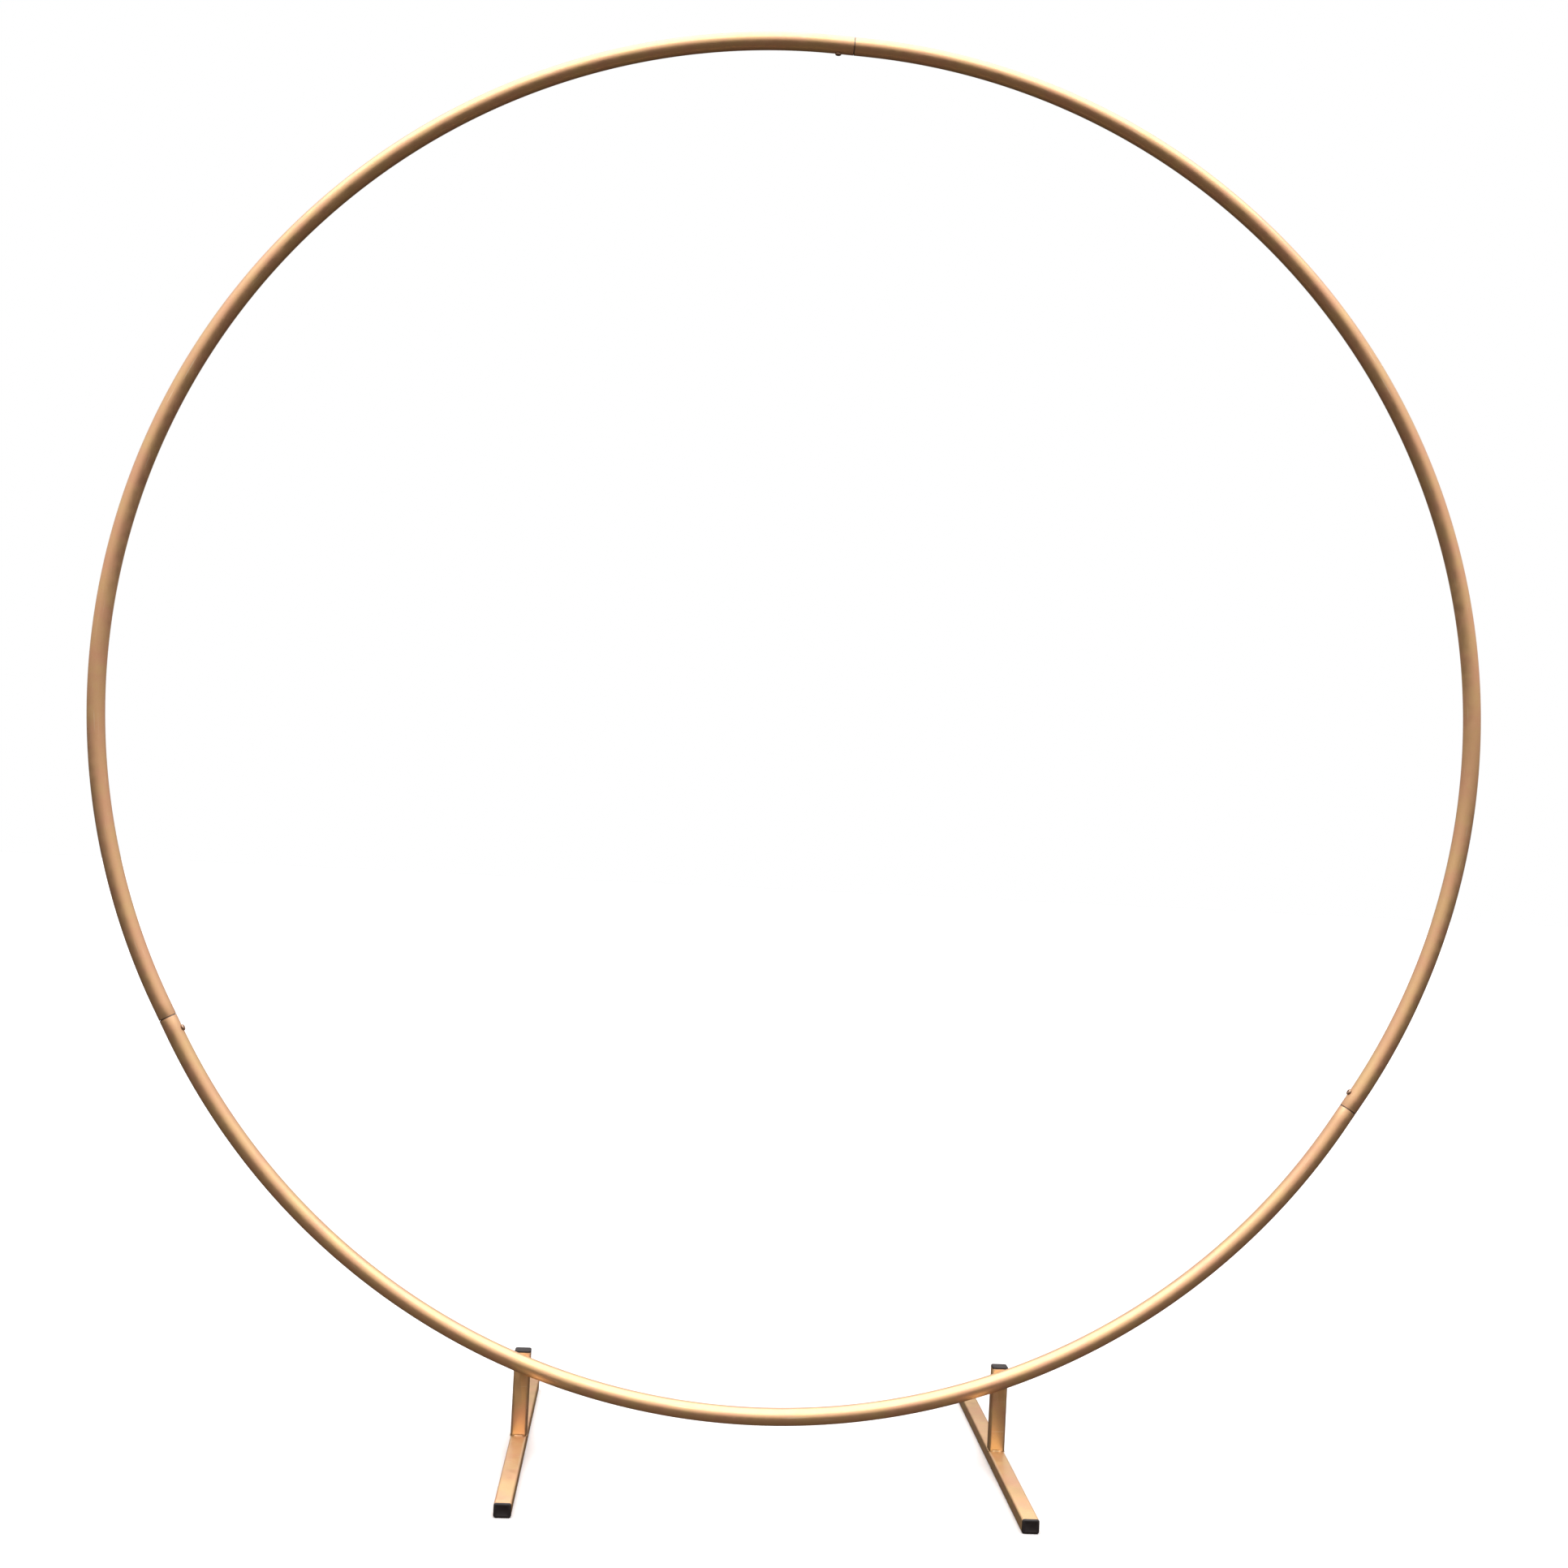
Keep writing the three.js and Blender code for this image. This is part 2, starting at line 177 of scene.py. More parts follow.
def bend_tube(name, middle):
    """One ring tube: a circle drawn out straight, spun about its bend centre and drawn out straight."""
    bend_centre = ring_centre + centre_offset * outward(middle)
    start = middle - ARC_SWEEP / 2
    end = middle + ARC_SWEEP / 2
    straight = STRAIGHT_END - SEAM_GAP / 2
    deselect_all()
    bpy.ops.mesh.primitive_circle_add(
        vertices=TUBE_SIDES,
        radius=TUBE_RADIUS,
        location=bend_centre + BEND_RADIUS * outward(start) - straight * onward(start),
        rotation=(0, -start, 0),
    )
    tube = start_piece(name)
    draw_by(straight * onward(start))
    bpy.ops.mesh.spin(steps=BEND_STEPS, angle=ARC_SWEEP, center=bend_centre, axis=(0, 1, 0))
    draw_by(straight * onward(end))
    close_shell(tube)
    finish_with(tube, "SOLIDIFY", thickness=TUBE_WALL, offset=-1)
    ease_edges(tube, TUBE_LIP, TUBE_LIP_STEPS)
    joint = ring_centre + joint_distance * outward(start)
    inner_wall = joint - (TUBE_RADIUS - TUBE_WALL / 2) * outward(start)
    screw_hole = inner_wall + SCREW_FROM_SEAM * onward(start)
    drill(tube, screw_hole, outward(start), SCREW_HOLE_RADIUS, WALL_HOLE_DEPTH)
    if name == "ring_tube_bottom":
        for side in (-1, 1):
            back_wall = Vector((side * bolt_axis.x, ring_plane + TUBE_RADIUS - TUBE_WALL / 2, bolt_axis.z))
            drill(tube, back_wall, Vector((0, 1, 0)), RIVET_HOLE_RADIUS, WALL_HOLE_DEPTH)
    smooth(tube)
    unroll(tube, bend_centre, middle)
    return tube


def unroll(tube, bend_centre, middle):
    """Stores where each point lay on the straight tube before it was bent, for the paint to follow."""
    places = tube.data.attributes.new("straight_tube", "FLOAT_VECTOR", "POINT")
    for vertex, place in zip(tube.data.vertices, places.data):
        arm = vertex.co - bend_centre
        turned = math.atan2(arm.dot(onward(middle)), arm.dot(outward(middle)))
        bent = max(-ARC_SWEEP / 2, min(ARC_SWEEP / 2, turned))
        along = BEND_RADIUS * bent + arm.dot(onward(middle + bent))
        place.vector = (along, arm.dot(outward(middle + bent)) - BEND_RADIUS, arm.y)


def add_node(tree, kind, inputs=None, **settings):
    """Adds a shader node; each input is given by name or number as a value or as the socket to join."""
    node = tree.nodes.new("ShaderNode" + kind)
    for name, value in settings.items():
        setattr(node, name, value)
    for socket, value in (inputs or {}).items():
        if isinstance(value, bpy.types.NodeSocket):
            tree.links.new(value, node.inputs[socket])
        else:
            node.inputs[socket].default_value = value
    return node


def noise(tree, place, scale, detail, roughness=0.5):
    """Soft noise at a place, from nothing to one."""
    inputs = {"Vector": place, "Scale": scale, "Detail": detail, "Roughness": roughness}
    return add_node(tree, "TexNoise", inputs).outputs["Fac"]


def rescale(tree, value, start, end, low=0, high=1):
    """Carries a value from between start and end to between low and high, and no further."""
    return add_node(tree, "MapRange", {"Value": value, 1: start, 2: end, 3: low, 4: high}).outputs[0]


def blend(tree, share, first, second):
    """The first colour, giving way to the second by a share."""
    return add_node(tree, "Mix", {0: share, 6: first, 7: second}, data_type="RGBA").outputs[2]


def combine(tree, operation, first, second=0):
    return add_node(tree, "Math", {0: first, 1: second}, operation=operation).outputs[0]


def new_effect(name, inputs, outputs):
    """An empty shader node group with named inputs and outputs."""
    effect = bpy.data.node_groups.new(name, "ShaderNodeTree")
    for socket, kind in inputs.items():
        effect.interface.new_socket(socket, in_out="INPUT", socket_type="NodeSocket" + kind)
    for socket, kind in outputs.items():
        effect.interface.new_socket(socket, in_out="OUTPUT", socket_type="NodeSocket" + kind)
    given = effect.nodes.new("NodeGroupInput").outputs
    made = effect.nodes.new("NodeGroupOutput").inputs
    return effect, given, made


def join_to(tree, inputs, sockets):
    """Joins sockets to the inputs of a node by name."""
    for name, socket in sockets.items():
        tree.links.new(socket, inputs[name])


def new_material(name):
    material = bpy.data.materials.new(name)
    material.use_nodes = True
    tree = material.node_tree
    return material, tree, tree.nodes["Principled BSDF"]


def dress(tree, shader, colour, skin, depth):
    """Joins a colour, and a skin's roughness and height as bump of the given depth, to a surface."""
    bump = add_node(tree, "Bump", {"Strength": 1, "Distance": depth, "Height": skin["Height"]}).outputs[0]
    join_to(tree, shader.inputs, {"Base Color": colour, "Roughness": skin["Roughness"], "Normal": bump})


# Sprayed metallic paint: drifting patches of tone, a fine metal flake, and orange peel.
DRIFT_FROM, DRIFT_TO = 0.38, 0.64
FLAKE_FROM, FLAKE_TO, FLAKE_MOST = 0.56, 0.74, 0.55
HAZE_FROM, HAZE_TO = 0.3, 0.7
PAINT_SLEEKEST, PAINT_ROUGHEST = 0.30, 0.42
paint, given, made = new_effect(
    "sprayed paint",
    {"Place": "Vector", "Body": "Color", "Rosy": "Color", "Flake": "Color"},
    {"Colour": "Color", "Roughness": "Float", "Height": "Float"},
)
drift = noise(paint, given["Place"], scale=22, detail=3, roughness=0.55)
body = blend(paint, rescale(paint, drift, DRIFT_FROM, DRIFT_TO), given["Body"], given["Rosy"])
fine = noise(paint, given["Place"], scale=3200, detail=1)
flake_share = rescale(paint, fine, FLAKE_FROM, FLAKE_TO, high=FLAKE_MOST)
haze = noise(paint, given["Place"], scale=75, detail=4)
paint_roughness = rescale(paint, haze, HAZE_FROM, HAZE_TO, PAINT_SLEEKEST, PAINT_ROUGHEST)
orange_peel = noise(paint, given["Place"], scale=420, detail=2)
flaked = blend(paint, flake_share, body, given["Flake"])
join_to(paint, made, {"Colour": flaked, "Roughness": paint_roughness, "Height": orange_peel})

# Rubbing and hairline scratches from handling, drawn out along X of the place that it is given.
HAIR_STRETCH = (14, 700, 700)
HAIR_FROM, HAIR_TO = 0.69, 0.76
CRUMB_FROM, CRUMB_TO = 0.47, 0.62
scuffs, given, made = new_effect(
    "handling scuffs", {"Place": "Vector", "Reach": "Float"}, {"Scratch": "Float", "Rub": "Float"}
)
hairs = add_node(scuffs, "Mapping", {"Vector": given["Place"], "Scale": HAIR_STRETCH}).outputs[0]
scratch = rescale(scuffs, noise(scuffs, hairs, scale=1, detail=2), HAIR_FROM, HAIR_TO)
crumbs = noise(scuffs, given["Place"], scale=260, detail=5, roughness=0.7)
crumb_share = rescale(scuffs, crumbs, CRUMB_FROM, CRUMB_TO)
rub = combine(scuffs, "MULTIPLY", crumb_share, given["Reach"])
join_to(scuffs, made, {"Scratch": scratch, "Rub": rub})

GOLD_BODY = (0.80, 0.550, 0.280, 1)
GOLD_ROSY = (0.81, 0.480, 0.290, 1)
GOLD_FLAKE = (0.97, 0.83, 0.60, 1)
GOLD_METAL = 0.8
BARE_STEEL = (0.33, 0.30, 0.27, 1)
# A dark brown mixed into the gold: painted shade in the ring's seams and at the posts' welds, with dirt, and
# darkening low on the feet.
SHADE_AND_DIRT_BROWN = (0.130, 0.065, 0.030, 1)
PEEL_DEPTH = 0.00005
LACQUER_WEIGHT = 0.24
LACQUER_ROUGHNESS = 0.22
RUBBED_REACH = 0.010
RUBBED_MOST = 0.35
# How far into each tube end the painted seam shade and dirt reach, and how strongly.
SEAM_SHADE_REACH = 0.0008
SEAM_SHADE_MOST = 1.6


def gold_paint(name, attribute, rubbed, dirt_and_shade):
    """Gold paint over a stored place, or over the object's own; rubbed says where it is worn, and
    dirt_and_shade where it is darkened by dirt and by painted shade.
    """
    material, tree, shader = new_material(name)
    if attribute:
        place = add_node(tree, "Attribute", attribute_name=attribute).outputs["Vector"]
    else:
        place = add_node(tree, "TexCoord").outputs["Object"]
    golds = {"Place": place, "Body": GOLD_BODY, "Rosy": GOLD_ROSY, "Flake": GOLD_FLAKE}
    coats = add_node(tree, "Group", golds, node_tree=paint).outputs
    reach = rubbed(tree, place)
    marks = add_node(tree, "Group", {"Place": place, "Reach": reach}, node_tree=scuffs).outputs
    scratched = blend(tree, marks["Scratch"], coats["Colour"], GOLD_FLAKE)
    worn = blend(tree, marks["Rub"], scratched, BARE_STEEL)
    # The dark brown mixed in last paints shade in seams and corners, along with dirt.
    dress(tree, shader, blend(tree, dirt_and_shade(tree, place), worn, SHADE_AND_DIRT_BROWN), coats, PEEL_DEPTH)
    shader.inputs["Metallic"].default_value = GOLD_METAL
    shader.inputs["Coat Weight"].default_value = LACQUER_WEIGHT
    shader.inputs["Coat Roughness"].default_value = LACQUER_ROUGHNESS
    return material


def tube_ends(tree, place, reach, most):
    """How near a place on a ring tube is to either end of it, from nothing to the most at the very end."""
    along = add_node(tree, "SeparateXYZ", {0: place}).outputs["X"]
    return rescale(tree, combine(tree, "ABSOLUTE", along), half_arc - reach, half_arc, high=most)


def rubbed_lips(tree, place):
    """A ring tube is rubbed in specks over the last centimetre at each end, where it is handled."""
    return tube_ends(tree, place, RUBBED_REACH, RUBBED_MOST)


def seam_shade_and_dirt(tree, place):
    """Darkens the last bit of each tube end: dirt gathers where the spray doesn't reach into a seam, and the
    darkening also paints the shade of the dark gap between tubes.
    """
    near = tube_ends(tree, place, SEAM_SHADE_REACH, SEAM_SHADE_MOST)
    return add_node(tree, "Clamp", {"Value": near}).outputs[0]


ring_gold = gold_paint("ring gold", "straight_tube", rubbed_lips, seam_shade_and_dirt)


def fit_piece(piece, body, node, material):
    """Gives a finished piece its material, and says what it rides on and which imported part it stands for."""
    piece.data.materials.clear()
    piece.data.materials.append(material)
    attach(piece, body)
    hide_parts(node)


for place_name, middle in arc_middles.items():
    ring_tube = bend_tube("ring_tube_" + place_name, middle)
    fit_piece(ring_tube, "ring", "arc_tube_" + place_name, ring_gold)

# ---- Joint sleeves --------------------------------------------------------------------------------
# A straight zinc-plated steel sleeve bridges each joint inside both tubes. It is welded into one tube and
# slides into the next, where a screw holds it. Its ends are chamfered so that the tube finds them.

SLEEVE_RADIUS = 0.0109
SLEEVE_WALL = 0.0015
SLEEVE_LENGTH = 0.070
SLEEVE_CHAMFER = 0.0011
SLEEVE_SMOOTH = 20

# Plated metal: cloudy, with fine crystals and a faint satin drag.
CLOUD_FROM, CLOUD_TO = 0.35, 0.65
CRYSTAL_FROM, CRYSTAL_TO = 0.1, 0.7
PLATE_SLEEKEST, PLATE_ROUGHEST = 0.28, 0.44
plate, given, made = new_effect(
    "plated metal",
    {"Place": "Vector", "Bright": "Color", "Dull": "Color"},
    {"Colour": "Color", "Roughness": "Float", "Height": "Float"},
)
cloud = noise(plate, given["Place"], scale=240, detail=4)
clouded = blend(plate, rescale(plate, cloud, CLOUD_FROM, CLOUD_TO), given["Bright"], given["Dull"])
crystal = add_node(plate, "TexVoronoi", {"Vector": given["Place"], "Scale": 900}).outputs["Distance"]
plate_roughness = rescale(plate, crystal, CRYSTAL_FROM, CRYSTAL_TO, PLATE_SLEEKEST, PLATE_ROUGHEST)
drag = noise(plate, given["Place"], scale=1800, detail=2)
join_to(plate, made, {"Colour": clouded, "Roughness": plate_roughness, "Height": drag})

ZINC_BRIGHT = (0.56, 0.57, 0.58, 1)
ZINC_DULL = (0.38, 0.38, 0.37, 1)
ZINC_DRAG_DEPTH = 0.00001
PLATE_METAL = 0.95


def plated(name, bright, dull, drag_depth):
    """A plated metal finish over the object's own place."""
    material, tree, shader = new_material(name)
    place = add_node(tree, "TexCoord").outputs["Object"]
    tones = {"Place": place, "Bright": bright, "Dull": dull}
    skin = add_node(tree, "Group", tones, node_tree=plate).outputs
    dress(tree, shader, skin["Colour"], skin, drag_depth)
    shader.inputs["Metallic"].default_value = PLATE_METAL
    return material


zinc = plated("zinc plate", ZINC_BRIGHT, ZINC_DULL, ZINC_DRAG_DEPTH)

# The frame of a joint: X points out of the ring and Y along the tube, towards the tube with the screw.
joint_names = {"right": "lower_right", "left": "top", "bottom": "lower_left"}
joint_places = {}
for place_name, middle in arc_middles.items():
    angle = middle - ARC_SWEEP / 2
    columns = Matrix((outward(angle), onward(angle), Vector((0, -1, 0)))).transposed()
    turn = columns.to_4x4()
    turn.translation = ring_centre + joint_distance * outward(angle)
    joint_places[joint_names[place_name]] = turn


def copy_to(master, name, place):
    """A copy of a finished piece with a mesh of its own, moved there in its mesh."""
    piece = master.copy()
    piece.data = master.data.copy()
    piece.name = piece.data.name = name
    piece.data.transform(place)
    bpy.context.collection.objects.link(piece)
    return piece


deselect_all()
bpy.ops.mesh.primitive_circle_add(
    vertices=TUBE_SIDES,
    radius=SLEEVE_RADIUS,
    location=(0, -SLEEVE_LENGTH / 2, 0),
    rotation=(math.pi / 2, 0, 0),
)
sleeve = start_piece("sleeve")
sleeve_run = SLEEVE_LENGTH - 2 * SLEEVE_CHAMFER
nose = (SLEEVE_RADIUS - SLEEVE_CHAMFER / 2) / SLEEVE_RADIUS
bpy.ops.transform.resize(value=(nose, 1, nose), center_override=(0, -SLEEVE_LENGTH / 2, 0))
for step, scale in ((SLEEVE_CHAMFER, 1 / nose), (sleeve_run, 1), (SLEEVE_CHAMFER, nose)):
    draw_by((0, step, 0))
    bpy.ops.transform.resize(value=(scale, 1, scale), center_override=(0, 0, 0))
close_shell(sleeve)
finish_with(sleeve, "SOLIDIFY", thickness=SLEEVE_WALL, offset=-1)
sleeve_wall_middle = Vector((-(SLEEVE_RADIUS - SLEEVE_WALL / 2), SCREW_FROM_SEAM, 0))
drill(sleeve, sleeve_wall_middle, Vector((1, 0, 0)), SCREW_HOLE_RADIUS, WALL_HOLE_DEPTH)
smooth(sleeve, SLEEVE_SMOOTH)
for joint_name, place in joint_places.items():
    piece = copy_to(sleeve, "inner_sleeve_" + joint_name, place)
    fit_piece(piece, "ring", "joint_sleeve_" + joint_name, zinc)
bpy.data.objects.remove(sleeve)

# ---- Weld nuts ------------------------------------------------------------------------------------
# A hexagon nut welded inside each sleeve takes the joint screw. It is cold formed from steel, with both
# faces chamfered at the corners, and a plain bore stands in for its thread.

NUT_FLATS = 0.008
NUT_HEIGHT = 0.004
NUT_FROM_AXIS = 0.004
NUT_BORE_RADIUS = 0.0028
NUT_CHAMFER = 0.0006


def turn_up(name, profile, sides=TURNED_SIDES, ring=False):
    """Turns a profile of (radius, height) about Z: a solid from end to end, or a ring that closes."""
    radius, height = profile[0]
    deselect_all()
    fill = "NOTHING" if ring else "NGON"
    bpy.ops.mesh.primitive_circle_add(vertices=sides, radius=radius, fill_type=fill, location=(0, 0, height))
    piece = start_piece(name)
    for next_radius, next_height in profile[1:] + (profile[:1] if ring else []):
        draw_by((0, 0, next_height - height))
        scale = next_radius / radius
        bpy.ops.transform.resize(value=(scale, scale, 1), center_override=(0, 0, next_height))
        radius, height = next_radius, next_height
    close_shell(piece)
    return piece


corner = NUT_FLATS / math.sqrt(3)
nut = turn_up("nut", [(corner, 0), (corner, NUT_HEIGHT)], sides=6)
blank_edge = NUT_FLATS / 2
blank = turn_up(
    "nut blank",
    [
        (blank_edge - NUT_CHAMFER, -NUT_CHAMFER / 2),
        (blank_edge + NUT_CHAMFER, NUT_CHAMFER / 2),
        (blank_edge + NUT_CHAMFER, NUT_HEIGHT - NUT_CHAMFER / 2),
        (blank_edge - NUT_CHAMFER, NUT_HEIGHT + NUT_CHAMFER / 2),
    ],
)
finish_with(nut, "BOOLEAN", operation="INTERSECT", object=blank, solver="EXACT")
bpy.data.objects.remove(blank)
drill(nut, Vector((0, 0, NUT_HEIGHT / 2)), Vector((0, 0, 1)), NUT_BORE_RADIUS, 3 * NUT_HEIGHT)
smooth(nut)
# The nut's own Z, and the screw's, points to the ring's centre, which is -X of the joint.
face_inward = Matrix.Rotation(-math.pi / 2, 4, "Y")
for joint_name, place in joint_places.items():
    seat = Matrix.Translation((-NUT_FROM_AXIS, SCREW_FROM_SEAM, 0))
    piece = copy_to(nut, "weld_nut_" + joint_name, place @ seat @ face_inward)
    fit_piece(piece, "ring", "joint_nut_" + joint_name, zinc)
bpy.data.objects.remove(nut)

# ---- Joint screws ---------------------------------------------------------------------------------
# One bronzed button-head screw locks each joint, from the side that faces the ring's centre. It goes
# through the tube and the sleeve into the weld nut, and is turned with a 3 mm hexagon key.

SCREW = {"radius": 0.0025, "length": 0.010, "head": 0.0045, "height": 0.0023, "key": 0.003}
SCREW_PITCH = 0.0008
SCREW_SEAT = 0.0003
BRONZE_BRIGHT = (0.44, 0.30, 0.22, 1)
BRONZE_DULL = (0.55, 0.40, 0.30, 1)
BRONZE_DRAG_DEPTH = 0.000012

# The parts of a thread, as shares of its pitch.
THREAD_DEPTH = 0.55
THREAD_SINK = 0.05
THREAD_HALF_WIDTH = 0.45
THREAD_STEPS = 24

# The parts of a button head, as shares of its radius and its height, and of its key.
HEAD_FOOT = 0.96
HEAD_BEVEL = 0.06
HEAD_CROWN, HEAD_BULGE = 0.58, 0.42
HEAD_RIM, HEAD_RISE = 0.24, 0.76
DOME_STEPS = 8
KEY_BIT = 1.3
KEY_MOUTH = 0.56
KEY_MOUTH_BIT = 0.12


def add_thread(screw, radius, pitch, low, high):
    """Winds a right-hand thread ridge round a screw's core, and joins it on."""
    depth = THREAD_DEPTH * pitch
    root = radius - depth - THREAD_SINK * pitch
    half_width = THREAD_HALF_WIDTH * pitch
    deselect_all()
    bpy.ops.mesh.primitive_circle_add(vertices=3, radius=pitch / 2)
    ridge = bpy.context.object
    corners = ((radius, low), (root, low + half_width), (root, low - half_width))
    for vertex, (out, up) in zip(ridge.data.vertices, corners):
        vertex.co = (out, 0, up)
    turns = int((high - low) / pitch)
    wind = {"axis": "Z", "angle": 2 * math.pi, "screw_offset": pitch, "iterations": turns}
    finish_with(ridge, "SCREW", steps=THREAD_STEPS, render_steps=THREAD_STEPS, **wind)
    bpy.ops.object.mode_set(mode="EDIT")
    bpy.ops.mesh.select_all(action="SELECT")
    bpy.ops.mesh.fill_holes(sides=3)
    close_shell(ridge)
    use(screw)
    ridge.select_set(True)
    bpy.ops.object.join()


def button_screw(name, radius, length, head, height, key, pitch, plain):
    """A button-head screw down from the origin, with a plain neck, a rolled thread and a key socket."""
    core = radius - THREAD_DEPTH * pitch
    profile = [(core - pitch / 2, -length), (core, -length + pitch / 2), (core, -plain - pitch / 2)]
    profile += [(radius, -plain), (radius, 0), (HEAD_FOOT * head, 0), (head, HEAD_BEVEL * height)]
    for i in range(DOME_STEPS + 1):
        lean = math.pi / 2 * i / DOME_STEPS
        dome_radius = head * (HEAD_CROWN + HEAD_BULGE * math.cos(lean))
        profile.append((dome_radius, height * (HEAD_RIM + HEAD_RISE * math.sin(lean))))
    screw = turn_up(name, profile)
    top = Vector((0, 0, height))
    drill(screw, top, Vector((0, 0, 1)), key / math.sqrt(3), KEY_BIT * height, sides=6)
    drill(screw, top, Vector((0, 0, 1)), KEY_MOUTH * key, KEY_MOUTH_BIT * height)
    add_thread(screw, radius, pitch, -length + pitch, -plain - pitch / 2)
    smooth(screw)
    return screw


bronzed = plated("bronzed steel", BRONZE_BRIGHT, BRONZE_DULL, BRONZE_DRAG_DEPTH)
joint_screw = button_screw("joint screw", pitch=SCREW_PITCH, plain=SCREW_PITCH, **SCREW)
for joint_name, place in joint_places.items():
    seat = Matrix.Translation((-(TUBE_RADIUS + SCREW_SEAT), SCREW_FROM_SEAM, 0))
    piece = copy_to(joint_screw, "lock_screw_" + joint_name, place @ seat @ face_inward)
    fit_piece(piece, "ring", "joint_screw_" + joint_name, bronzed)
bpy.data.objects.remove(joint_screw)

# ---- Rivet nuts -----------------------------------------------------------------------------------
# Two zinc-plated rivet nuts set in the back of the bottom tube take the foot bolts. Setting one crushes
# its body into a bulge behind the wall, which grips the tube against the thin flange outside.

RIVET_BORE_RADIUS = 0.0033
RIVET_RADIUS = 0.0044
RIVET_FLANGE_RADIUS = 0.0055
RIVET_FLANGE_TOP = 0.0007
RIVET_FLANGE_FOOT = 0.0003
RIVET_BULGE_RADIUS = 0.0053
RIVET_BULGE_TOP = -0.0027
RIVET_BULGE_LENGTH = 0.003
RIVET_LENGTH = 0.0115
BULGE_STEPS = 8

# How far the flange's rim and its mouth are eased, as shares of the radius and of the flange's top.
RIM_SHARE, RIM_LEVEL = 0.97, 0.8
MOUTH_SHARE, MOUTH_LEVEL = 1.08, 0.6

rivet_profile = [(RIVET_BORE_RADIUS, -RIVET_LENGTH), (RIVET_RADIUS, -RIVET_LENGTH)]
for i in range(BULGE_STEPS + 1):
    swell = math.sin(math.pi * i / BULGE_STEPS)
    bulge_height = RIVET_BULGE_TOP - RIVET_BULGE_LENGTH * (1 - i / BULGE_STEPS)
    rivet_profile.append((RIVET_RADIUS + (RIVET_BULGE_RADIUS - RIVET_RADIUS) * swell, bulge_height))
rivet_profile += [
    (RIVET_RADIUS, RIVET_FLANGE_FOOT),
    (RIVET_FLANGE_RADIUS, RIVET_FLANGE_FOOT),
    (RIVET_FLANGE_RADIUS, RIM_LEVEL * RIVET_FLANGE_TOP),
    (RIM_SHARE * RIVET_FLANGE_RADIUS, RIVET_FLANGE_TOP),
    (MOUTH_SHARE * RIVET_BORE_RADIUS, RIVET_FLANGE_TOP),
    (RIVET_BORE_RADIUS, MOUTH_LEVEL * RIVET_FLANGE_TOP),
]
rivet_nut = turn_up("rivet nut", rivet_profile, ring=True)
smooth(rivet_nut)
# Parts on a foot bolt's axis are made about Z, and their Z is turned to point backward, to +Y.
face_backward = Matrix.Rotation(-math.pi / 2, 4, "X")
side_signs = {"left": -1, "right": 1}
for side, sign in side_signs.items():
    seat = Matrix.Translation((sign * bolt_axis.x, ring_plane + TUBE_RADIUS, bolt_axis.z))
    piece = copy_to(rivet_nut, "set_rivet_nut_" + side, seat @ face_backward)
    fit_piece(piece, "ring", "ring_rivet_nut_" + side, zinc)
bpy.data.objects.remove(rivet_nut)

# ---- Foot bars ------------------------------------------------------------------------------------
# Each foot is a rectangular steel box tube from front to back, flat on the floor, with rounded long
# corners. It is cut square, deburred and sprayed the same gold as the ring.

BOX_TUBE_WALL = 0.0012
BOX_TUBE_CORNER = 0.0032
BOX_TUBE_CORNER_STEPS = 8
BOX_TUBE_LIP = 0.0002
BOX_TUBE_LIP_STEPS = 2
FACING = 0.9
SCUFFED_BELOW = 0.004
SCUFFED_MOST = 0.7
# A foot is darker over its lowest millimetres, towards the floor.
DARKENED_BELOW = 0.005
DARKENED_MOST = 0.8

# Heights between which the painted shade round a weld, where the post meets the bar, begins, and between which
# it ends.
WELD_SHADE_FROM, WELD_SHADE_FULL = 0.0190, 0.0194
WELD_SHADE_ENDING, WELD_SHADE_GONE = 0.0205, 0.0225
WELD_SHADE_MOST = 0.6
PATCH_FROM, PATCH_TO = 0.35, 0.6


def round_corners(piece, length, axis):
    """Rounds the long corners of a box of the given length along one axis."""
    bpy.ops.mesh.select_mode(type="EDGE")
    mesh = bmesh.from_edit_mesh(piece.data)
    for edge in mesh.edges:
        run = edge.verts[1].co - edge.verts[0].co
        edge.select_set(abs(run[axis]) > length / 2)
    bmesh.update_edit_mesh(piece.data)
    bpy.ops.mesh.bevel(offset=BOX_TUBE_CORNER, segments=BOX_TUBE_CORNER_STEPS)


def pick_faces(piece, test):
    """Selects only the faces whose normal passes the test."""
    bpy.ops.mesh.select_mode(type="FACE")
    mesh = bmesh.from_edit_mesh(piece.data)
    for face in mesh.faces:
        face.select_set(test(face.normal))
    bmesh.update_edit_mesh(piece.data)


def box_tube(name, low, high, axis):
    """A box tube that fills the given corners, open along one axis, with its long corners rounded."""
    deselect_all()
    bpy.ops.mesh.primitive_cube_add(size=1, location=(low + high) / 2, scale=high - low)
    tube = start_piece(name)
    round_corners(tube, (high - low)[axis], axis)
    pick_faces(tube, lambda normal: abs(normal[axis]) > FACING)
    bpy.ops.mesh.delete(type="ONLY_FACE")
    close_shell(tube)
    finish_with(tube, "SOLIDIFY", thickness=BOX_TUBE_WALL, offset=-1, use_even_offset=True)
    ease_edges(tube, BOX_TUBE_LIP, BOX_TUBE_LIP_STEPS)
    return tube


def rubbed_foot(tree, place):
    """A foot is scuffed along its lowest edges, where it drags on the floor."""
    up = add_node(tree, "SeparateXYZ", {0: place}).outputs["Z"]
    return rescale(tree, up, SCUFFED_BELOW, 0, high=SCUFFED_MOST)


